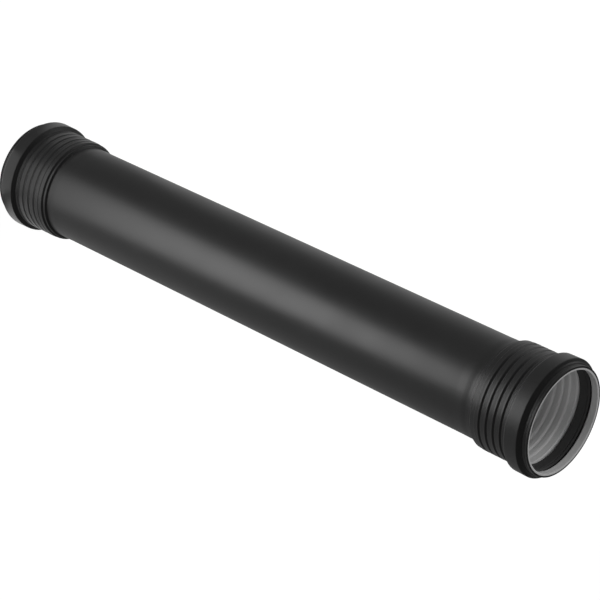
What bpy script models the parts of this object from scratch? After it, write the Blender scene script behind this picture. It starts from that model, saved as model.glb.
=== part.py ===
"""Socketed drain pipe: one formed pipe with a push-fit socket at each end, and a lip seal in each socket.

Units are metres, with +Z up. The pipe stands on the lip of its lower socket and its axis is Z.
Profiles are lists of (depth, radius, fillet): depth is counted from the lip into the socket.
"""
import math

import bpy

# Pipe
PIPE_DIAMETER = 0.110       # outside, the size that the pipe is sold by
PIPE_WALL = 0.0036
OVERALL_LENGTH = 0.782      # lip to lip
INNER_LAYER = 0.0024        # light layer inside the black outer layer

# Socket, radial sizes
SPIGOT_PLAY = 0.0003        # room round a pipe that is pushed in
MOUTH_PLAY = 0.0010         # more room than that at the lip
RIB_HEIGHT = 0.0012         # ribs stand this far out of the grooves
SOCKET_WALL = 0.0036
CHAMBER_DEPTH = 0.0050      # seal chamber, deeper than the lip's inside
RIDGE_HEIGHT = 0.0030       # ridge between the two steps, above the pipe
RIDGE_FALL = 0.0004         # slope of that ridge towards the pipe

# Socket, sizes along the axis
LIP_LENGTH = 0.0056
FRONT_SHOULDER = 0.0038
COLLAR_LENGTH = 0.0158
REAR_SHOULDER = 0.0034
NECK_LENGTH = 0.0050        # from the rear shoulder to the first groove's middle
GROOVE_COUNT = 4
GROOVE_PITCH = 0.00905
GROOVE_WIDTH = 0.0030
GROOVE_FLOOR = 0.0006       # flat width of a groove's floor
GUIDE_WIDTH = 0.0046        # each groove shows inside as a soft guiding ridge of this width
GUIDE_CREST = 0.0010        # flat width of that ridge's crest
END_LAND = 0.0111           # from the last groove's middle to the first step
STEP_RUN = 0.0018
RIDGE_LENGTH = 0.0024
RUN_OUT = 0.0026            # soft end of the second step on the pipe

# Fillets
LIP_FILLET = 0.0006
COLLAR_FILLET = 0.0012
FOOT_FILLET = 0.0008
STEP_FILLET = 0.0005
CHAMBER_FILLET = 0.0008

# Seal
SEAL_GAP = 0.0003           # between the seal and the chamber that holds it
SEAL_SQUEEZE = 0.0006       # the lip is this much smaller than the pipe pushed through it
SEAL_BEAD_DROP = 0.0007     # front bead, outside the lip's inside radius
SEAL_BEAD_LENGTH = 0.0042
SEAL_ROOT_SETBACK = 0.0020  # root of the gap behind the lip, behind the bead's end
SEAL_LIP_THICKNESS = 0.0013  # at the lip's tip
SEAL_LIP_SETBACK = 0.0012   # lip's tip, in front of the chamber's rear corner
SEAL_BACK_THICKNESS = 0.0026
SEAL_FILLET = 0.0004

# Facets
STEPS_ROUND = 40
ARC_STEP = math.radians(56)  # largest turn between two points of a fillet
MERGE_DISTANCE = 0.00001

# Radii that follow from the sizes above
PIPE_OUTSIDE = PIPE_DIAMETER / 2
PIPE_INSIDE = PIPE_OUTSIDE - PIPE_WALL
GUIDE_INSIDE = PIPE_OUTSIDE + SPIGOT_PLAY
BARREL_INSIDE = GUIDE_INSIDE + RIB_HEIGHT
BARREL_OUTSIDE = BARREL_INSIDE + SOCKET_WALL
MOUTH_INSIDE = GUIDE_INSIDE + MOUTH_PLAY
MOUTH_OUTSIDE = MOUTH_INSIDE + SOCKET_WALL
CHAMBER_INSIDE = MOUTH_INSIDE + CHAMBER_DEPTH
COLLAR_OUTSIDE = CHAMBER_INSIDE + SOCKET_WALL
RIDGE_OUTSIDE = PIPE_OUTSIDE + RIDGE_HEIGHT

# Depths that follow from the sizes above
COLLAR_FRONT = LIP_LENGTH + FRONT_SHOULDER
COLLAR_REAR = COLLAR_FRONT + COLLAR_LENGTH
NECK_START = COLLAR_REAR + REAR_SHOULDER
GROOVES = [NECK_START + NECK_LENGTH + i * GROOVE_PITCH for i in range(GROOVE_COUNT)]
BARREL_END = GROOVES[-1] + END_LAND
RIDGE_START = BARREL_END + STEP_RUN
RIDGE_END = RIDGE_START + RIDGE_LENGTH
SOCKET_END = RIDGE_END + STEP_RUN


def clear_scene():
    """Remove every object, so that the model starts in an empty scene."""
    for obj in list(bpy.data.objects):
        bpy.data.objects.remove(obj, do_unlink=True)


def plastic(name, colour, roughness):
    """A plain non-metal material with one colour."""
    material = bpy.data.materials.new(name)
    material.use_nodes = True
    shader = material.node_tree.nodes["Principled BSDF"]
    shader.inputs["Base Color"].default_value = (*colour, 1.0)
    shader.inputs["Roughness"].default_value = roughness
    shader.inputs["Metallic"].default_value = 0.0
    material.diffuse_color = (*colour, 1.0)
    return material


def wall_shift(run, rise):
    """How far a sloped wall's inner face is set along the axis, for the wall to keep its thickness."""
    return SOCKET_WALL * (math.hypot(run, rise) - run) / rise


def rounded(corners):
    """Turn corners (depth, radius, fillet) into points, with an arc at each corner that has a fillet."""
    points = []
    for i, (x, y, fillet) in enumerate(corners):
        if fillet == 0 or i in (0, len(corners) - 1):
            points.append((x, y))
            continue
        points.extend(corner_arc(corners[i - 1], (x, y), corners[i + 1], fillet))
    return points


def corner_arc(before, corner, after, fillet):
    """Points of the arc that touches both sides of a corner, kept within half of the shorter side."""
    ax, ay = before[0] - corner[0], before[1] - corner[1]
    bx, by = after[0] - corner[0], after[1] - corner[1]
    la, lb = math.hypot(ax, ay), math.hypot(bx, by)
    ax, ay, bx, by = ax / la, ay / la, bx / lb, by / lb
    half = math.acos(max(-1.0, min(1.0, ax * bx + ay * by))) / 2
    tangent = min(fillet / math.tan(half), 0.48 * min(la, lb))
    radius = tangent * math.tan(half)
    mx, my = ax + bx, ay + by
    reach = radius / math.sin(half) / math.hypot(mx, my)
    cx, cy = corner[0] + mx * reach, corner[1] + my * reach
    start = math.atan2(corner[1] + ay * tangent - cy, corner[0] + ax * tangent - cx)
    end = math.atan2(corner[1] + by * tangent - cy, corner[0] + bx * tangent - cx)
    sweep = (end - start + math.pi) % (2 * math.pi) - math.pi
    pieces = math.ceil(abs(sweep) / ARC_STEP)
    angles = [start + sweep * k / pieces for k in range(pieces + 1)]
    return [(cx + radius * math.cos(a), cy + radius * math.sin(a)) for a in angles]


def socket_outside():
    """Outside of one socket, from its lip to the plain pipe."""
    corners = [
        (0.0, MOUTH_INSIDE + INNER_LAYER, 0.0),
        (0.0, MOUTH_OUTSIDE, LIP_FILLET),
        (LIP_LENGTH, MOUTH_OUTSIDE, FOOT_FILLET),
        (COLLAR_FRONT, COLLAR_OUTSIDE, COLLAR_FILLET),
        (COLLAR_REAR, COLLAR_OUTSIDE, COLLAR_FILLET),
        (NECK_START, BARREL_OUTSIDE, FOOT_FILLET),
    ]
    for middle in GROOVES:
        corners += [
            (middle - GROOVE_WIDTH / 2, BARREL_OUTSIDE, 0.0),
            (middle - GROOVE_FLOOR / 2, BARREL_OUTSIDE - RIB_HEIGHT, 0.0),
            (middle + GROOVE_FLOOR / 2, BARREL_OUTSIDE - RIB_HEIGHT, 0.0),
            (middle + GROOVE_WIDTH / 2, BARREL_OUTSIDE, 0.0),
        ]
    corners += [
        (BARREL_END, BARREL_OUTSIDE, STEP_FILLET),
        (RIDGE_START, RIDGE_OUTSIDE, 0.0),
        (RIDGE_END, RIDGE_OUTSIDE - RIDGE_FALL, STEP_FILLET),
        (SOCKET_END, PIPE_OUTSIDE + RIDGE_FALL, 0.0),
        (SOCKET_END + RUN_OUT, PIPE_OUTSIDE, 0.0),
    ]
    return rounded(corners)


def socket_inside():
    """Inside of one socket, from its lip to the plain pipe."""
    front = LIP_LENGTH + wall_shift(FRONT_SHOULDER, CHAMBER_DEPTH)
    rear = COLLAR_REAR - wall_shift(REAR_SHOULDER, COLLAR_OUTSIDE - BARREL_OUTSIDE)
    stop_run = SOCKET_END - BARREL_END
    stop = BARREL_END - wall_shift(stop_run, BARREL_OUTSIDE - PIPE_OUTSIDE)
    corners = [
        (0.0, MOUTH_INSIDE + INNER_LAYER, 0.0),
        (0.0, MOUTH_INSIDE, LIP_FILLET),
        (front, MOUTH_INSIDE, FOOT_FILLET),
        (front + FRONT_SHOULDER, CHAMBER_INSIDE, CHAMBER_FILLET),
        (rear, CHAMBER_INSIDE, CHAMBER_FILLET),
        (rear + REAR_SHOULDER, BARREL_INSIDE, 0.0),
    ]
    for middle in GROOVES:
        corners += [
            (middle - GUIDE_WIDTH / 2, BARREL_INSIDE, 0.0),
            (middle - GUIDE_CREST / 2, GUIDE_INSIDE, 0.0),
            (middle + GUIDE_CREST / 2, GUIDE_INSIDE, 0.0),
            (middle + GUIDE_WIDTH / 2, BARREL_INSIDE, 0.0),
        ]
    corners += [
        (stop, BARREL_INSIDE, FOOT_FILLET),
        (stop + stop_run, PIPE_INSIDE, FOOT_FILLET),
        (stop + stop_run + RUN_OUT, PIPE_INSIDE, 0.0),
    ]
    return rounded(corners)[1:]


def seal_section():
    """Closed section of one seal: a body that fills the chamber, a front bead and a lip that leans inward."""
    slope = FRONT_SHOULDER / CHAMBER_DEPTH
    front_gap = SEAL_GAP * math.hypot(slope, 1.0)
    front = LIP_LENGTH + wall_shift(FRONT_SHOULDER, CHAMBER_DEPTH) + front_gap
    rear_rise = CHAMBER_INSIDE - BARREL_INSIDE
    rear_slope = REAR_SHOULDER / rear_rise
    rear_gap = SEAL_GAP * math.hypot(rear_slope, 1.0)
    rear = COLLAR_REAR - wall_shift(REAR_SHOULDER, rear_rise) - rear_gap
    outside = CHAMBER_INSIDE - SEAL_GAP
    bead = MOUTH_INSIDE + SEAL_BEAD_DROP
    back = outside - SEAL_BACK_THICKNESS
    tip_depth = rear - SEAL_LIP_SETBACK
    tip = PIPE_OUTSIDE - SEAL_SQUEEZE
    bead_front = front + slope * (bead - MOUTH_INSIDE)
    bead_end = bead_front + SEAL_BEAD_LENGTH
    lean = math.atan2(bead - tip, tip_depth - bead_end)
    tip_back = (tip_depth + SEAL_LIP_THICKNESS * math.sin(lean), tip + SEAL_LIP_THICKNESS * math.cos(lean))
    corners = [
        (front + slope * (outside - MOUTH_INSIDE), outside, SEAL_FILLET),
        (rear - rear_slope * SEAL_GAP, outside, SEAL_FILLET),
        (rear + rear_slope * (CHAMBER_INSIDE - back), back, SEAL_FILLET),
        (bead_end + SEAL_ROOT_SETBACK, back, SEAL_FILLET),
        (*tip_back, SEAL_FILLET),
        (tip_depth, tip, SEAL_FILLET),
        (bead_end, bead, 0.0),
        (bead_front, bead, SEAL_FILLET),
    ]
    closed = rounded([corners[-1]] + corners + [corners[0]])
    return closed[1:-1]


def turned(name, section, collection):
    """A body turned round Z from a closed section of (radius, height) points, smooth with sharp edges."""
    mesh = bpy.data.meshes.new(name)
    count = len(section)
    edges = [(i, (i + 1) % count) for i in range(count)]
    mesh.from_pydata([(r, 0.0, z) for r, z in section], edges, [])
    obj = bpy.data.objects.new(name, mesh)
    collection.objects.link(obj)
    screw = obj.modifiers.new("turn", "SCREW")
    screw.axis = "Z"
    screw.angle = 2 * math.pi
    screw.steps = STEPS_ROUND
    screw.render_steps = STEPS_ROUND
    screw.use_merge_vertices = True
    screw.merge_threshold = MERGE_DISTANCE
    screw.use_smooth_shade = True
    return obj


def standing(points, upper):
    """Set (depth, radius) points in the upper or the lower socket, as (radius, height)."""
    return [(r, OVERALL_LENGTH - depth if upper else depth) for depth, r in points]


def pipe_section():
    """Closed section of the whole pipe: down its outside, and back up its inside."""
    outside, inside = socket_outside(), socket_inside()
    section = standing(outside, upper=True)
    section += reversed(standing(outside, upper=False))
    section += standing(inside, upper=False)
    section += reversed(standing(inside, upper=True))
    return section


def make_pipe(collection, outer, inner):
    """The formed pipe with both sockets, black outside and light inside."""
    turning = turned("socketed_pipe", pipe_section(), collection)
    bpy.context.view_layer.update()
    evaluated = turning.evaluated_get(bpy.context.evaluated_depsgraph_get())
    mesh = bpy.data.meshes.new_from_object(evaluated)
    bpy.data.objects.remove(turning, do_unlink=True)
    pipe = bpy.data.objects.new("socketed_pipe", mesh)
    collection.objects.link(pipe)
    mesh.materials.clear()
    mesh.materials.append(outer)
    mesh.materials.append(inner)
    for face in mesh.polygons:
        face.material_index = 1 if faces_the_bore(face) else 0
    mesh.shade_smooth()
    mesh.set_sharp_from_angle(angle=math.radians(35))
    return pipe


def faces_the_bore(face):
    """Whether a face of the pipe lies on the light layer: its inside, and the inner part of each lip."""
    across = math.hypot(face.center.x, face.center.y)
    inward = face.normal.x * face.center.x + face.normal.y * face.center.y < -0.01 * across
    on_lip = abs(face.normal.z) > 0.9 and across < MOUTH_INSIDE + INNER_LAYER
    return inward or on_lip


def make_seal(name, upper, collection, rubber):
    """One lip seal, in the chamber of the upper or the lower socket."""
    section = standing(seal_section(), upper)
    if upper:
        section.reverse()
    seal = turned(name, section[::-1], collection)
    seal.data.materials.append(rubber)
    return seal


def main():
    clear_scene()
    collection = bpy.data.collections.new("socketed_drain_pipe")
    bpy.context.scene.collection.children.link(collection)
    outer = plastic("black_pipe_plastic", (0.012, 0.012, 0.013), 0.42)
    inner = plastic("grey_inner_layer", (0.20, 0.20, 0.20), 0.5)
    rubber = plastic("seal_rubber", (0.008, 0.008, 0.008), 0.6)
    make_pipe(collection, outer, inner)
    make_seal("top_seal", True, collection, rubber)
    make_seal("bottom_seal", False, collection, rubber)


main()
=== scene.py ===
"""Looks of the socketed drain pipe: its formed surfaces, plastics and rubber, studio light and camera.

Metres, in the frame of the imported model: the pipe stands on its lower lip and its axis is Z.
Profiles are lists of (depth, radius, fillet), with depth counted from a socket's lip into the socket.
"""
import math

import bmesh
import bpy
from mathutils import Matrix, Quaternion, Vector


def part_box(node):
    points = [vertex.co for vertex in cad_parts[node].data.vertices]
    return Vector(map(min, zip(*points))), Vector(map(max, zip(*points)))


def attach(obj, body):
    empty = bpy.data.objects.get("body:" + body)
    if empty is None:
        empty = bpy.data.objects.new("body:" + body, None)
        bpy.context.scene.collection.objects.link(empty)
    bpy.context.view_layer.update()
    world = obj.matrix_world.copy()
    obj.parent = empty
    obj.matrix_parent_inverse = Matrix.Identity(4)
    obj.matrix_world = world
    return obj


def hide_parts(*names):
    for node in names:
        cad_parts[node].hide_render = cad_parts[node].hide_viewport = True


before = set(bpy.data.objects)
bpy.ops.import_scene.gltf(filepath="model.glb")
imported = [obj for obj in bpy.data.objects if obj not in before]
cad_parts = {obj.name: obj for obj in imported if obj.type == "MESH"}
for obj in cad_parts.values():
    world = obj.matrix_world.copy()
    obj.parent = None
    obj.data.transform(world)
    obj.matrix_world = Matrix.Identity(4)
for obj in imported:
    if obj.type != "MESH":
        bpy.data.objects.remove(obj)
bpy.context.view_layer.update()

# Pipe
PIPE_LOW, PIPE_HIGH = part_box("socketed_pipe")
LENGTH = PIPE_HIGH.z - PIPE_LOW.z
COLLAR_RADIUS = PIPE_HIGH.x
PIPE_RADIUS = 0.0550
WALL = 0.0036
INNER_LAYER = 0.0016            # light layer inside the black one

# Socket, radial sizes
CHAMBER_DEPTH = 0.0050
COLLAR_TAPER = 0.0003
LIP_ROLL = 0.0005               # the lip's inner edge is rolled inward by this much
GUIDE_CLEARANCE = 0.0003
GUIDE_EDGE = 0.0003             # the guide's front edge stands inward by this much
RIB_HEIGHT = 0.0012
SOFT_RIB_HEIGHT = 0.0009        # in the lower socket, whose grooves show less
RIB_FALL = 0.0001               # a rib falls by this much behind its front edge
LAST_STEP = 0.0005              # fall of the barrel behind its last rib
RIDGE_HEIGHT = 0.0026
RIDGE_FALL = 0.0001
GUIDE_RADIUS = PIPE_RADIUS + GUIDE_CLEARANCE
BARREL_INSIDE = GUIDE_RADIUS + RIB_HEIGHT
BARREL_RADIUS = BARREL_INSIDE + WALL
CHAMBER_RADIUS = COLLAR_RADIUS - WALL
MOUTH_INSIDE = CHAMBER_RADIUS - CHAMBER_DEPTH
LIP_RADIUS = MOUTH_INSIDE + WALL
LAYER_LINE = MOUTH_INSIDE + INNER_LAYER
RIDGE_RADIUS = PIPE_RADIUS + RIDGE_HEIGHT

# Socket, lengths and depths from the lip
LIP_LENGTH = 0.0056
LIP_SETBACK = 0.0004            # the lip's inside runs this much deeper than an even wall's would
ROLL_LENGTH = 0.0010            # of the lip's rolled edge
FRONT_SHOULDER = 0.0038
COLLAR_LENGTH = 0.0158
REAR_SHOULDER = 0.0034
FIRST_GROOVE = 0.0050           # from the barrel's start
GROOVE_COUNT = 4
GROOVE_PITCH = 0.00905
LAST_RIB = 0.0056               # its end, from the last groove's middle
BARREL_TAIL = 0.0111            # the barrel's end, from the last groove's middle
LAST_STEP_LENGTH = 0.0005
STEP_LENGTH = 0.0018            # slope before the ridge and behind it
RIDGE_LENGTH = 0.0024
COLLAR_FRONT = LIP_LENGTH + FRONT_SHOULDER
COLLAR_REAR = COLLAR_FRONT + COLLAR_LENGTH
BARREL_START = COLLAR_REAR + REAR_SHOULDER
GROOVES = [BARREL_START + FIRST_GROOVE + i * GROOVE_PITCH for i in range(GROOVE_COUNT)]
LAST_RIB_END = GROOVES[-1] + LAST_RIB
BARREL_END = GROOVES[-1] + BARREL_TAIL
RIDGE_START = BARREL_END + STEP_LENGTH
RIDGE_END = RIDGE_START + RIDGE_LENGTH
SOCKET_END = RIDGE_END + STEP_LENGTH

# Fine line turned into the lip's outside
LIP_LINE_DEPTH = 0.0029
LIP_LINE_WIDTH = 0.0008
LIP_LINE_CUT = 0.0003

# Outside groove, from its middle
GROOVE_FLOOR_START = 0.0014     # before the middle
GROOVE_FLOOR_END = 0.0009       # before the middle
GROOVE_FALL = 0.0010            # length of the slope down into the groove
SOFT_GROOVE_FALL = 0.0016       # the same in the lower socket
RIB_FRONT = 0.0009              # behind the middle
RIB_FLAT = 0.0026               # behind the middle, where the rib's fall ends

# Guiding ridge inside: a short ledge behind each groove, and a long fall towards the next one
LEDGE_START = 0.0003            # from the groove's middle
LEDGE_END = 0.0024              # from the groove's middle, where the ridge has its crest
LEDGE_REACH = 0.0003            # the crest stands outside the guide radius by this much
SLOPE_LENGTH = 0.0036           # first, flatter part of the fall
SLOPE_REACH = 0.0006            # its end stands outside the guide radius by this much
LEDGE_GAP = 0.0006              # flat before the next ledge

# Fillets
LINE_FILLET = 0.0003            # fine lines, groove floors and low steps
EDGE_FILLET = 0.0004            # lip edge, seal edges and ledges
BEND_FILLET = 0.0008            # bends inside the collar
COLLAR_FRONT_FILLET = 0.0011
COLLAR_REAR_FILLET = 0.0014
BARREL_FILLET = 0.0010
BARREL_END_FILLET = 0.0005
GROOVE_FILLET = 0.0006
RIB_FRONT_FILLET = 0.0009
RIB_FILLET = 0.0040
RIDGE_FILLET = 0.0002
ROLL_FILLET = 0.0005
ROLL_END_FILLET = 0.0040
CREST_FILLET = 0.0030
SLOPE_FILLET = 0.0100
STOP_FILLET = 0.0015
BORE_FILLET = 0.0020
SEAL_BACK_FILLET = 0.0005

# Soft break in the front shoulder, as (depth, radius, fillet) from the lip's rear edge
SHOULDER_BREAK = [(0.0006, 0.0009, 0.0004), (0.0018, 0.0020, 0.0006)]

# Foot of the second step and slow swell of the wall behind it, in the same form, from the socket's end
WALL_SWELL = [
    (-0.0002, 0.0, 0.0005),
    (0.0036, -0.00006, 0.0150),
    (0.0070, 0.00010, 0.0300),
    (0.0098, 0.00018, 0.0400),
    (0.0190, 0.0, 0.0400),
]

# Seal
SEAL_GAP = 0.0003
SEAL_SQUEEZE = 0.0006           # the seal's lip is smaller in radius than the pipe by this much
SEAL_BEAD_DROP = 0.0007         # the bead stands back from the mouth's inside by this much
SEAL_LIP_RADIUS = PIPE_RADIUS - SEAL_SQUEEZE
SEAL_BEAD_RADIUS = MOUTH_INSIDE + SEAL_BEAD_DROP
SEAL_BEAD_LENGTH = 0.0042
SEAL_ROOT_SETBACK = 0.0020
SEAL_LIP_THICKNESS = 0.0013
SEAL_LIP_SETBACK = 0.0012
SEAL_BACK_THICKNESS = 0.0026
SEAL_RECESS_HEIGHT = 0.0024     # of the recess behind the pipe's lip, over the bead

# The seal's grooved bead and its recess, in the same form, from the bead's end
SEAL_FRONT = [
    (0.0014, -0.0001, 0.0010),
    (0.0008, 0.0007, 0.0003),
    (0.0003, 0.0007, 0.0003),
    (0.0, -0.0003, 0.0002),
    (-0.0004, -0.0003, 0.0003),
    (-0.0020, 0.0011, 0.0002),
    (-0.0021, SEAL_RECESS_HEIGHT, 0.0002),
]

# Part of the recess that is painted darker, as painted shade
SHADE_LENGTH = 0.0042           # from the inner end of the pipe's lip
SHADE_OVER_BEAD = 0.0012
SHADE_UNDER_WALL = 0.0010
SHADE_FLOOR = SEAL_BEAD_RADIUS + SHADE_OVER_BEAD
SHADE_ROOF = CHAMBER_RADIUS - SHADE_UNDER_WALL

# Facets of the turned meshes
TURN_STEPS = 136
ARC_STEP = math.radians(18)
ARC_LEAST = 2                   # fewest pieces of an arc
FILLET_SHARE = 0.48             # a fillet takes at most this share of a side
HOLD = 0.0002                   # distance of the support points that keep a flat flat beside a fillet
SHORT = 4 * HOLD                # a stretch up to this length gets no support points
LONGEST = 0.060                 # longest stretch without a point
BLACK_LAYER, LIGHT_LAYER, CUT_EDGE = 0, 1, 2        # places of the pipe's materials

# Marks in a surface, as (group, height)
OUTER_MARKS = [("draw", 0.000012), ("rings", 0.000008), ("skin", 0.000012)]
INNER_MARKS = [("draw", 0.000010), ("rings", 0.000010), ("skin", 0.000010)]
MOULD_MARKS = [("rings", 0.000010), ("skin", 0.000020)]

# Finishes: name, dark and light tone, lowest and highest roughness, and marks
FINISHES = [
    ("black_pipe_plastic", 0.0040, 0.0055, (0.38, 0.44), OUTER_MARKS),
    ("light_inner_plastic", 0.395, 0.435, (0.46, 0.56), INNER_MARKS),
    ("seal_rubber", 0.0185, 0.0245, (0.42, 0.52), MOULD_MARKS),
    ("cut_black_plastic", 0.0480, 0.0560, (0.50, 0.60), MOULD_MARKS),
    # seal_painted_shade: rubber painted darker on the recess faces behind the pipe's lip, as painted shade
    ("seal_painted_shade", 0.0040, 0.0060, (0.60, 0.70), MOULD_MARKS),
]
PLASTIC_IOR = 1.5
GRAIN_SHARE = 0.18              # height of the grain, beside the orange peel's
NOISE_LOW, NOISE_HIGH = 0.25, 0.75                  # usual range of a noise
MIX_FIRST, MIX_SECOND, MIX_RESULT = 6, 7, 2         # a Mix node's colour sockets

# Studio
FLOOR_RADIUS = 9.0
FLOOR_STEPS = 96
FLOOR_COLOUR = 0.80
FLOOR_WHITE = 1.20              # seen directly, makes up for the shadow's share
SHADOW_SHARE = 0.20             # share of the lit floor, which holds the shadow, in what the camera sees
FLOOR_IN_GLOSS = 0.33           # brightness of the floor in the pipe's reflections
STUDIO_FILL = 0.11              # brightness of the world as a light
LOW_LAMP_HEIGHT = 0.002

# Panels on the floor: name, direction in degrees, and each panel's nearest and farthest distance from the
# pipe's axis, width and brightness
LOW_LAMPS = [
    ("front_lamp", 15.5, [
        (0.055, 0.09, 0.068, 0.95),
        (0.09, 0.13, 0.118, 0.95),
        (0.13, 0.22, 0.22, 1.35),
        (0.22, 0.40, 0.355, 2.6),
        (0.40, 0.65, 0.585, 3.9),
        (0.65, 0.95, 0.74, 5.2),
        (0.95, 1.18, 0.70, 4.1),
        (1.18, 1.70, 0.60, 0.5),
    ]),
    ("back_lamp", -148.0, [
        (0.07, 0.20, 0.24, 0.35),
        (0.20, 0.50, 0.70, 0.36),
        (0.50, 1.60, 1.50, 0.36),
    ]),
    ("right_lamp", 90.0, [
        (0.066, 0.088, 0.13, 1.05),
        (0.088, 0.30, 0.22, 0.20),
        (0.30, 0.50, 0.40, 0.18),
        (0.60, 1.25, 0.90, 0.14),
    ]),
    ("left_lamp", -92.0, [(0.066, 0.10, 0.13, 0.40)]),
    ("right_back_lamp", 135.0, [(0.18, 0.45, 0.22, 0.10), (0.45, 1.10, 0.60, 0.08)]),
    ("foot_lamp", 10.0, [(0.055, 0.10, 0.14, 0.10)]),
]

# Upright panels and high lamps: name, direction in degrees, distance, height, (width, length) and brightness
UPRIGHT_LAMPS = [
    ("wall_lamp", -110.0, 1.7, 1.12, (1.8, 0.75), 1.0),
    ("left_wall_lamp", -48.0, 3.0, 0.50, (3.2, 1.0), 0.28),
    ("left_back_wall_lamp", -103.0, 3.0, 0.50, (3.2, 1.0), 0.28),
]
HIGH_LAMPS = [
    ("side_lamp", -82.0, 2.2, 2.5, (1.6, 1.5), 6.3),
    ("fill_lamp", 14.0, 2.3, 2.6, (2.2, 1.3), 2.6),
    ("right_fill", 85.0, 2.2, 2.5, (1.2, 1.2), 1.8),
]

# Camera at the photograph's angle, which is rolled because the photographed pipe lies down
FRAME_PIXELS = 600
FOCAL_PIXELS = 2324.8
SENSOR = 36.0
CLIP_START = 0.1
CAMERA_PLACE = Vector((0.0, -2.0412, 1.8935))
CAMERA_AIM = Vector((0.0034, 0.0, 0.4267))
CAMERA_ROLL = math.radians(115.52)


def wall_shift(run, rise):
    """How far a sloped wall's inner face is set along the axis, for the wall to keep its thickness."""
    return WALL * (math.hypot(run, rise) - run) / rise


INNER_LIP_END = LIP_LENGTH + wall_shift(FRONT_SHOULDER, CHAMBER_DEPTH) + LIP_SETBACK


def rounded(corners):
    """Points of an outline (depth, radius, fillet), with a fine arc at each corner that has a fillet."""
    points = [corners[0][:2]]
    for before, corner, after in zip(corners, corners[1:], corners[2:]):
        points += corner_arc(before, corner, after) if corner[2] else [corner[:2]]
    return points + [corners[-1][:2]]


def corner_arc(before, corner, after):
    """Points of the arc that touches both sides of a corner, kept within the shorter side."""
    middle = Vector(corner[:2])
    back, ahead = Vector(before[:2]) - middle, Vector(after[:2]) - middle
    half = back.angle(ahead) / 2
    tangent = min(corner[2] / math.tan(half), FILLET_SHARE * min(back.length, ahead.length))
    radius = tangent * math.tan(half)
    back, ahead = back.normalized(), ahead.normalized()
    centre = middle + (back + ahead).normalized() * (radius / math.sin(half))
    first, last = middle + back * tangent - centre, middle + ahead * tangent - centre
    start = math.atan2(first.y, first.x)
    sweep = (math.atan2(last.y, last.x) - start + math.pi) % (2 * math.pi) - math.pi
    pieces = max(ARC_LEAST, math.ceil(abs(sweep) / ARC_STEP))
    turns = [start + sweep * k / pieces for k in range(pieces + 1)]
    return [(centre.x + radius * math.cos(t), centre.y + radius * math.sin(t)) for t in turns]


def supported(points):
    """Add points near both ends of each straight stretch, and along the long ones."""
    result = [points[0]]
    for start, end in zip(points, points[1:]):
        length = math.dist(start, end)
        shares = []
        if length > SHORT:
            pieces = math.ceil(length / LONGEST)
            shares = [HOLD / length, *(k / pieces for k in range(1, pieces)), 1 - HOLD / length]
        result += [(start[0] + (end[0] - start[0]) * t, start[1] + (end[1] - start[1]) * t) for t in shares]
        result.append(end)
    return result


def placed(detail, depth, radius):
    """Corners of a detail, moved to the depth and radius where it belongs."""
    return [(depth + ahead, radius + rise, fillet) for ahead, rise, fillet in detail]


def outside_corners(groove_depth):
    """Outside of a socket, from the layer line on its lip to the middle of the pipe."""
    line = LIP_LINE_WIDTH / 2
    corners = [
        (0.0, LAYER_LINE, 0.0),
        (0.0, LIP_RADIUS, EDGE_FILLET),
        (LIP_LINE_DEPTH - line, LIP_RADIUS, LINE_FILLET),
        (LIP_LINE_DEPTH, LIP_RADIUS - LIP_LINE_CUT, EDGE_FILLET),
        (LIP_LINE_DEPTH + line, LIP_RADIUS, LINE_FILLET),
        (LIP_LENGTH, LIP_RADIUS, LINE_FILLET),
        *placed(SHOULDER_BREAK, LIP_LENGTH, LIP_RADIUS),
        (COLLAR_FRONT, COLLAR_RADIUS, COLLAR_FRONT_FILLET),
        (COLLAR_REAR, COLLAR_RADIUS - COLLAR_TAPER, COLLAR_REAR_FILLET),
        (BARREL_START, BARREL_RADIUS - RIB_FALL, BARREL_FILLET),
    ]
    for middle in GROOVES:
        corners += groove_corners(middle, groove_depth)
    corners += [
        (LAST_RIB_END, BARREL_RADIUS - RIB_FALL, LINE_FILLET),
        (LAST_RIB_END + LAST_STEP_LENGTH, BARREL_RADIUS - LAST_STEP, LINE_FILLET),
        (BARREL_END, BARREL_RADIUS - LAST_STEP - RIB_FALL, BARREL_END_FILLET),
        (RIDGE_START, RIDGE_RADIUS, LINE_FILLET),
        (RIDGE_END, RIDGE_RADIUS - RIDGE_FALL, RIDGE_FILLET),
        *placed(WALL_SWELL, SOCKET_END, PIPE_RADIUS),
        (LENGTH / 2, PIPE_RADIUS, 0.0),
    ]
    return corners


def groove_corners(middle, depth):
    """One groove of the barrel: the fall into it, its floor, and the rise to the next rib's front edge."""
    floor = BARREL_RADIUS - depth
    fall = SOFT_GROOVE_FALL if depth < RIB_HEIGHT else GROOVE_FALL
    return [
        (middle - GROOVE_FLOOR_START - fall, BARREL_RADIUS - RIB_FALL, GROOVE_FILLET),
        (middle - GROOVE_FLOOR_START, floor, LINE_FILLET),
        (middle - GROOVE_FLOOR_END, floor, LINE_FILLET),
        (middle + RIB_FRONT, BARREL_RADIUS, RIB_FRONT_FILLET),
        (middle + RIB_FLAT, BARREL_RADIUS - RIB_FALL, RIB_FILLET),
    ]


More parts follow.
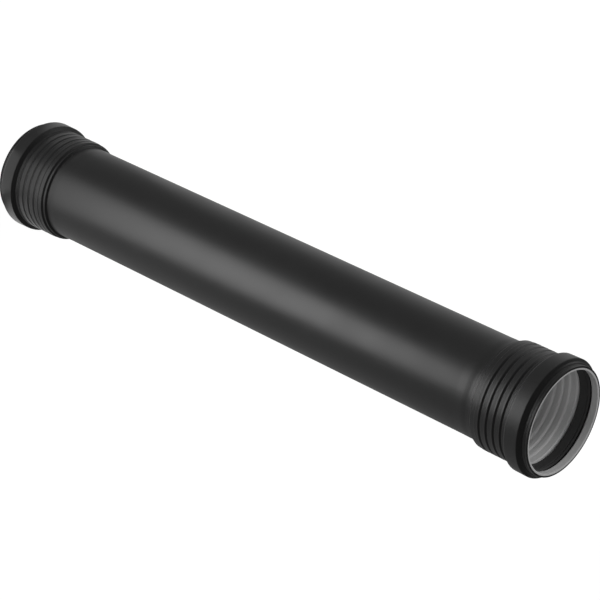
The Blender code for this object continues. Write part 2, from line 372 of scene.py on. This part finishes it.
def inside_corners():
    """Inside of a socket, from the layer line on its lip to the middle of the bore."""
    rear = COLLAR_REAR - wall_shift(REAR_SHOULDER, COLLAR_RADIUS - BARREL_RADIUS)
    guide = rear + REAR_SHOULDER * (1 + GUIDE_EDGE / (CHAMBER_RADIUS - BARREL_INSIDE))
    stop_run = SOCKET_END - BARREL_END
    stop = BARREL_END - wall_shift(stop_run, BARREL_RADIUS - PIPE_RADIUS)
    corners = [
        (0.0, LAYER_LINE, 0.0),
        (0.0, MOUTH_INSIDE - LIP_ROLL, ROLL_FILLET),
        (ROLL_LENGTH, MOUTH_INSIDE - LIP_ROLL, ROLL_END_FILLET),
        (INNER_LIP_END, MOUTH_INSIDE, BEND_FILLET),
        (INNER_LIP_END + FRONT_SHOULDER, CHAMBER_RADIUS, BEND_FILLET),
        (rear, CHAMBER_RADIUS, BEND_FILLET),
        (guide, BARREL_INSIDE - GUIDE_EDGE, BEND_FILLET),
    ]
    for middle in GROOVES:
        ledge, crest = middle + LEDGE_START, middle + LEDGE_END
        corners += [
            (ledge, BARREL_INSIDE, EDGE_FILLET),
            (crest, GUIDE_RADIUS + LEDGE_REACH, CREST_FILLET),
            (crest + SLOPE_LENGTH, GUIDE_RADIUS + SLOPE_REACH, SLOPE_FILLET),
            (ledge + GROOVE_PITCH - LEDGE_GAP, BARREL_INSIDE, EDGE_FILLET),
        ]
    corners += [
        (stop, BARREL_INSIDE, STOP_FILLET),
        (stop + stop_run, PIPE_RADIUS - WALL, BORE_FILLET),
        (LENGTH / 2, PIPE_RADIUS - WALL, 0.0),
    ]
    return corners


def seal_corners():
    """Closed section of a seal: body in the chamber, grooved front bead, and a lip that leans inward."""
    slope = FRONT_SHOULDER / CHAMBER_DEPTH
    front = INNER_LIP_END + SEAL_GAP * math.hypot(slope, 1.0)
    rear_rise = CHAMBER_RADIUS - BARREL_INSIDE
    rear_slope = REAR_SHOULDER / rear_rise
    rear = COLLAR_REAR - wall_shift(REAR_SHOULDER, rear_rise) - SEAL_GAP * math.hypot(rear_slope, 1.0)
    outside = CHAMBER_RADIUS - SEAL_GAP
    back = outside - SEAL_BACK_THICKNESS
    bead_front = front + slope * (SEAL_BEAD_RADIUS - MOUTH_INSIDE)
    bead_end = bead_front + SEAL_BEAD_LENGTH
    tip = rear - SEAL_LIP_SETBACK
    lean = math.atan2(SEAL_BEAD_RADIUS - SEAL_LIP_RADIUS, tip - bead_end)
    tip_back = tip + SEAL_LIP_THICKNESS * math.sin(lean)
    tip_rise = SEAL_LIP_THICKNESS * math.cos(lean)
    return [
        (front + slope * (outside - MOUTH_INSIDE), outside, EDGE_FILLET),
        (rear - rear_slope * SEAL_GAP, outside, EDGE_FILLET),
        (rear + rear_slope * (CHAMBER_RADIUS - back), back, SEAL_BACK_FILLET),
        (bead_end + SEAL_ROOT_SETBACK, back, EDGE_FILLET),
        (tip_back, SEAL_LIP_RADIUS + tip_rise, EDGE_FILLET),
        (tip, SEAL_LIP_RADIUS, EDGE_FILLET),
        *placed(SEAL_FRONT, bead_end, SEAL_BEAD_RADIUS),
        (bead_front + slope * SEAL_RECESS_HEIGHT, SEAL_BEAD_RADIUS + SEAL_RECESS_HEIGHT, 0.0),
    ]


def standing(points, upper):
    """Set (depth, radius) points in the upper or the lower socket, as (radius, height)."""
    return [(radius, LENGTH - depth if upper else depth) for depth, radius in points]


def turned(name, section):
    """A smooth body turned round Z from a closed (radius, height) section, which runs down its outside."""
    count = len(section)
    turns = [2 * math.pi * k / TURN_STEPS for k in range(TURN_STEPS)]
    points = [(r * math.cos(t), r * math.sin(t), z) for t in turns for r, z in section]
    faces = []
    for k in range(TURN_STEPS):
        here, there = k * count, (k + 1) % TURN_STEPS * count
        for i in range(count):
            j = (i + 1) % count
            faces.append((here + i, here + j, there + j, there + i))
    mesh = bpy.data.meshes.new(name)
    mesh.from_pydata(points, [], faces)
    mesh.shade_smooth()
    piece = bpy.data.objects.new(name, mesh)
    bpy.context.scene.collection.objects.link(piece)
    return piece


def make_pipe(materials):
    """The pipe with both sockets, as one closed surface: black outside, light inside, cut at both lips."""
    upper, lower = rounded(outside_corners(RIB_HEIGHT)), rounded(outside_corners(SOFT_RIB_HEIGHT))
    inside = rounded(inside_corners())
    down = supported(standing(upper, True) + standing(lower, False)[-2::-1])
    up = supported(standing(inside, False) + standing(inside, True)[-2::-1])
    section = down + up[1:-1]
    pipe = turned("formed_pipe", section)
    for finish in ("black_pipe_plastic", "light_inner_plastic", "cut_black_plastic"):
        pipe.data.materials.append(materials[finish])
    layers = [BLACK_LAYER] * (len(down) - 1) + [LIGHT_LAYER] * (len(up) - 1)
    for i, (start, end) in enumerate(zip(down, down[1:])):
        if start[1] == end[1] and start[1] in (0.0, LENGTH):
            layers[i] = CUT_EDGE
    pipe.data.polygons.foreach_set("material_index", layers * TURN_STEPS)
    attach(pipe, "root")
    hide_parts("socketed_pipe")


def make_seal(name, node, upper, materials):
    """One rubber lip seal in the upper or the lower socket, with painted shade on the faces of the recess at
    its front.
    """
    corners = seal_corners()
    arcs = rounded([corners[-1], *corners, corners[0]])[1:-1]
    section = standing(supported([*arcs, arcs[0]])[:-1], upper)
    if not upper:
        section.reverse()
    seal = turned(name, section)
    for finish in ("seal_rubber", "seal_painted_shade"):
        seal.data.materials.append(materials[finish])
    shade_ends = standing([(0.0, 0.0), (INNER_LIP_END + SHADE_LENGTH, 0.0)], upper)
    low, high = sorted(height for _, height in shade_ends)
    # Faces within these bounds get the darker rubber: painted shade in the recess
    recess = []
    for start, end in zip(section, [*section[1:], section[0]]):
        radius, height = (start[0] + end[0]) / 2, (start[1] + end[1]) / 2
        recess.append(int(low < height < high and SHADE_FLOOR < radius < SHADE_ROOF))
    seal.data.polygons.foreach_set("material_index", recess * TURN_STEPS)
    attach(seal, "root")
    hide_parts(node)


def add(tree, kind, inputs=None, **settings):
    """Add a shader node; an input takes a plain value or another node's output."""
    node = tree.nodes.new(kind)
    for name, value in settings.items():
        setattr(node, name, value)
    for name, value in (inputs or {}).items():
        if isinstance(value, bpy.types.NodeSocket):
            tree.links.new(value, node.inputs[name])
        else:
            node.inputs[name].default_value = value
    return node


def new_group(name, inputs, outputs):
    """A shader node group with float inputs (name, value) and outputs; returns its tree and given values."""
    tree = bpy.data.node_groups.new(name, "ShaderNodeTree")
    for label, value in inputs:
        socket = tree.interface.new_socket(label, in_out="INPUT", socket_type="NodeSocketFloat")
        socket.default_value = value
    for label in outputs:
        tree.interface.new_socket(label, in_out="OUTPUT", socket_type="NodeSocketFloat")
    return tree, tree.nodes.new("NodeGroupInput").outputs


def end_group(tree, **results):
    """Link a group's results to its output sockets."""
    output = tree.nodes.new("NodeGroupOutput")
    for label, socket in results.items():
        tree.links.new(socket, output.inputs[label])


def stretched_noise(tree, across, along, detail):
    """Noise over the surface, with its own scale across and along the pipe's axis."""
    place = add(tree, "ShaderNodeTexCoord").outputs["Object"]
    scale = add(tree, "ShaderNodeCombineXYZ", {"X": across, "Y": across, "Z": along}).outputs[0]
    stretched = add(tree, "ShaderNodeVectorMath", {0: place, 1: scale}, operation="MULTIPLY").outputs[0]
    return add(tree, "ShaderNodeTexNoise", {"Vector": stretched, "Scale": 1.0, "Detail": detail}).outputs[0]


def draw_marks_group():
    """Fine lines that the extrusion die draws along the pipe."""
    tree, given = new_group("draw_marks", [("Lines Per Metre", 900.0), ("Drift", 3.0)], ["Height"])
    fine = stretched_noise(tree, given["Lines Per Metre"], given["Drift"], detail=3.0)
    end_group(tree, Height=fine)
    return tree


def forming_rings_group():
    """Rings round the axis that the socket's forming leaves: fine steps in height along Z."""
    tree, given = new_group("forming_rings", [("Rings Per Metre", 700.0)], ["Height"])
    place = add(tree, "ShaderNodeTexCoord").outputs["Object"]
    height = add(tree, "ShaderNodeSeparateXYZ", {0: place}).outputs["Z"]
    factors = {0: height, 1: given["Rings Per Metre"]}
    along = add(tree, "ShaderNodeMath", factors, operation="MULTIPLY").outputs[0]
    rings = add(tree, "ShaderNodeTexNoise", {"W": along, "Scale": 1.0, "Detail": 2.0}, noise_dimensions="1D")
    end_group(tree, Height=rings.outputs[0])
    return tree


def skin_group():
    """Moulded skin: a soft orange peel, a fine grain, and slow clouds of tone."""
    inputs = [("Peel Scale", 220.0), ("Grain Scale", 2600.0), ("Cloud Scale", 24.0)]
    tree, given = new_group("moulded_skin", inputs, ["Height", "Clouds"])
    peel = stretched_noise(tree, given["Peel Scale"], given["Peel Scale"], detail=2.0)
    grain = stretched_noise(tree, given["Grain Scale"], given["Grain Scale"], detail=1.0)
    terms = {0: grain, 1: GRAIN_SHARE, 2: peel}
    height = add(tree, "ShaderNodeMath", terms, operation="MULTIPLY_ADD").outputs[0]
    clouds = stretched_noise(tree, given["Cloud Scale"], given["Cloud Scale"], detail=4.0)
    end_group(tree, Height=height, Clouds=clouds)
    return tree


def ranged(tree, noise, low, high):
    """Map a noise's usual range onto low to high."""
    inputs = {"Value": noise, "From Min": NOISE_LOW, "From Max": NOISE_HIGH, "To Min": low, "To Max": high}
    return add(tree, "ShaderNodeMapRange", inputs).outputs[0]


def grey(value):
    """A grey of this value, as a colour."""
    return (value, value, value, 1.0)


def finish_material(groups, name, dark, light, rough, marks):
    """A plastic or rubber: tone and roughness follow the skin's clouds, and the marks add up to its bump."""
    material = bpy.data.materials.new(name)
    material.use_nodes = True
    tree = material.node_tree
    shader = tree.nodes["Principled BSDF"]
    skin = add(tree, "ShaderNodeGroup", node_tree=groups["skin"])
    clouds = skin.outputs["Clouds"]
    tone = add(tree, "ShaderNodeMix", {0: ranged(tree, clouds, 0.0, 1.0)}, data_type="RGBA")
    tone.inputs[MIX_FIRST].default_value = grey(dark)
    tone.inputs[MIX_SECOND].default_value = grey(light)
    tree.links.new(tone.outputs[MIX_RESULT], shader.inputs["Base Color"])
    tree.links.new(ranged(tree, clouds, *rough), shader.inputs["Roughness"])
    shader.inputs["IOR"].default_value = PLASTIC_IOR
    normal = None
    for group, height in marks:
        source = skin if group == "skin" else add(tree, "ShaderNodeGroup", node_tree=groups[group])
        inputs = {"Height": source.outputs["Height"], "Distance": height, "Strength": 1.0}
        bump = add(tree, "ShaderNodeBump", inputs)
        if normal:
            tree.links.new(normal, bump.inputs["Normal"])
        normal = bump.outputs["Normal"]
    tree.links.new(normal, shader.inputs["Normal"])
    return material


def make_materials():
    """The finishes of the pipe and the seals as materials, by name."""
    groups = {"skin": skin_group(), "draw": draw_marks_group(), "rings": forming_rings_group()}
    return {finish[0]: finish_material(groups, *finish) for finish in FINISHES}


def ray_masks(tree):
    """Masks of the rays that come from the camera, also through clear things, and of the mirrored ones."""
    path = add(tree, "ShaderNodeLightPath").outputs
    direct = {0: path["Is Camera Ray"], 1: path["Is Transmission Ray"]}
    return add(tree, "ShaderNodeMath", direct, operation="MAXIMUM").outputs[0], path["Is Glossy Ray"]


def make_floor():
    """A wide pale floor, white to the camera, that keeps the pipe's soft shadow."""
    mesh = bpy.data.meshes.new("studio_floor")
    shape = bmesh.new()
    bmesh.ops.create_circle(shape, cap_ends=True, segments=FLOOR_STEPS, radius=FLOOR_RADIUS)
    shape.to_mesh(mesh)
    shape.free()
    floor = bpy.data.objects.new("studio_floor", mesh)
    bpy.context.scene.collection.objects.link(floor)
    material = bpy.data.materials.new("studio_floor")
    material.use_nodes = True
    tree = material.node_tree
    lit = tree.nodes["Principled BSDF"]
    lit.inputs["Base Color"].default_value = grey(FLOOR_COLOUR)
    lit.inputs["Roughness"].default_value = 1.0
    lit.inputs["Specular IOR Level"].default_value = 0.0
    direct, mirrored = ray_masks(tree)
    white = add(tree, "ShaderNodeEmission", {"Color": grey(1.0), "Strength": FLOOR_WHITE}).outputs[0]
    pale = add(tree, "ShaderNodeEmission", {"Color": grey(1.0), "Strength": FLOOR_IN_GLOSS}).outputs[0]
    shadowed = add(tree, "ShaderNodeMixShader", {0: SHADOW_SHARE, 1: white, 2: lit.outputs[0]}).outputs[0]
    indirect = add(tree, "ShaderNodeMixShader", {0: mirrored, 1: lit.outputs[0], 2: pale}).outputs[0]
    surface = add(tree, "ShaderNodeMixShader", {0: direct, 1: indirect, 2: shadowed}).outputs[0]
    tree.links.new(surface, tree.nodes["Material Output"].inputs["Surface"])
    mesh.materials.append(material)


def make_world():
    """A white background for the camera, and a soft dim studio for the light."""
    world = bpy.data.worlds.new("studio")
    bpy.context.scene.world = world
    world.use_nodes = True
    tree = world.node_tree
    tree.nodes.clear()
    direct = ray_masks(tree)[0]
    white = add(tree, "ShaderNodeBackground", {"Color": grey(1.0), "Strength": 1.0}).outputs[0]
    fill = add(tree, "ShaderNodeBackground", {"Color": grey(1.0), "Strength": STUDIO_FILL}).outputs[0]
    surface = add(tree, "ShaderNodeMixShader", {0: direct, 1: fill, 2: white}).outputs[0]
    output = add(tree, "ShaderNodeOutputWorld")
    tree.links.new(surface, output.inputs["Surface"])


def round_axis(angle, radius, height):
    """A place round the pipe's axis; the angle counts from the camera's side towards +X, in degrees."""
    turn = math.radians(angle)
    return Vector((radius * math.sin(turn), -radius * math.cos(turn), height))


def add_lamp(name, place, width, length, radiance, turn, mirrored=True):
    """A soft rectangular lamp of a given brightness, hidden from the camera."""
    lamp = bpy.data.lights.new(name, "AREA")
    lamp.shape = "RECTANGLE"
    lamp.size, lamp.size_y = width, length
    lamp.energy = radiance * math.pi * width * length
    holder = bpy.data.objects.new(name, lamp)
    holder.location = place
    holder.rotation_mode = "QUATERNION"
    holder.rotation_quaternion = turn
    holder.visible_camera = False
    holder.visible_glossy = mirrored
    bpy.context.scene.collection.objects.link(holder)


def low_lamps(name, angle, panels):
    """Panels on the floor that shine upward, one behind the other; the wall mirrors them to the camera."""
    turn = Quaternion((0.0, 0.0, 1.0), math.radians(angle)) @ Quaternion((1.0, 0.0, 0.0), math.pi)
    for i, (near, far, width, radiance) in enumerate(panels):
        place = round_axis(angle, (near + far) / 2, LOW_LAMP_HEIGHT)
        add_lamp(f"{name}_{i}", place, width, far - near, radiance, turn)


def upright_lamp(name, angle, distance, height, size, radiance):
    """A wide upright panel that faces the pipe; the wall mirrors it to the camera."""
    place = round_axis(angle, distance, height)
    turn = round_axis(angle + 180.0, distance, 0.0).to_track_quat("-Z", "Y")
    add_lamp(name, place, *size, radiance, turn)


def high_lamp(name, angle, distance, height, size, radiance):
    """A soft lamp high up, turned towards the upper socket; it lights the pipe but shows in no gloss."""
    place = round_axis(angle, distance, height)
    turn = (Vector((0.0, 0.0, LENGTH)) - place).to_track_quat("-Z", "Y")
    add_lamp(name, place, *size, radiance, turn, mirrored=False)


def make_lights():
    """All lamps of the studio."""
    for panels in LOW_LAMPS:
        low_lamps(*panels)
    for panel in UPRIGHT_LAMPS:
        upright_lamp(*panel)
    for lamp in HIGH_LAMPS:
        high_lamp(*lamp)


def make_camera():
    """The camera, rolled about its own axis."""
    camera = bpy.data.cameras.new("camera")
    camera.sensor_width = SENSOR
    camera.lens = FOCAL_PIXELS * SENSOR / FRAME_PIXELS
    camera.clip_start = CLIP_START
    holder = bpy.data.objects.new("camera", camera)
    holder.location = CAMERA_PLACE
    holder.rotation_mode = "QUATERNION"
    level = (CAMERA_AIM - CAMERA_PLACE).to_track_quat("-Z", "Y")
    holder.rotation_quaternion = level @ Quaternion((0.0, 0.0, 1.0), CAMERA_ROLL)
    bpy.context.scene.collection.objects.link(holder)
    bpy.context.scene.camera = holder


bpy.context.scene.view_settings.view_transform = "Standard"
finishes = make_materials()
make_pipe(finishes)
make_seal("upper_lip_seal", "top_seal", True, finishes)
make_seal("lower_lip_seal", "bottom_seal", False, finishes)
make_floor()
make_world()
make_lights()
make_camera()
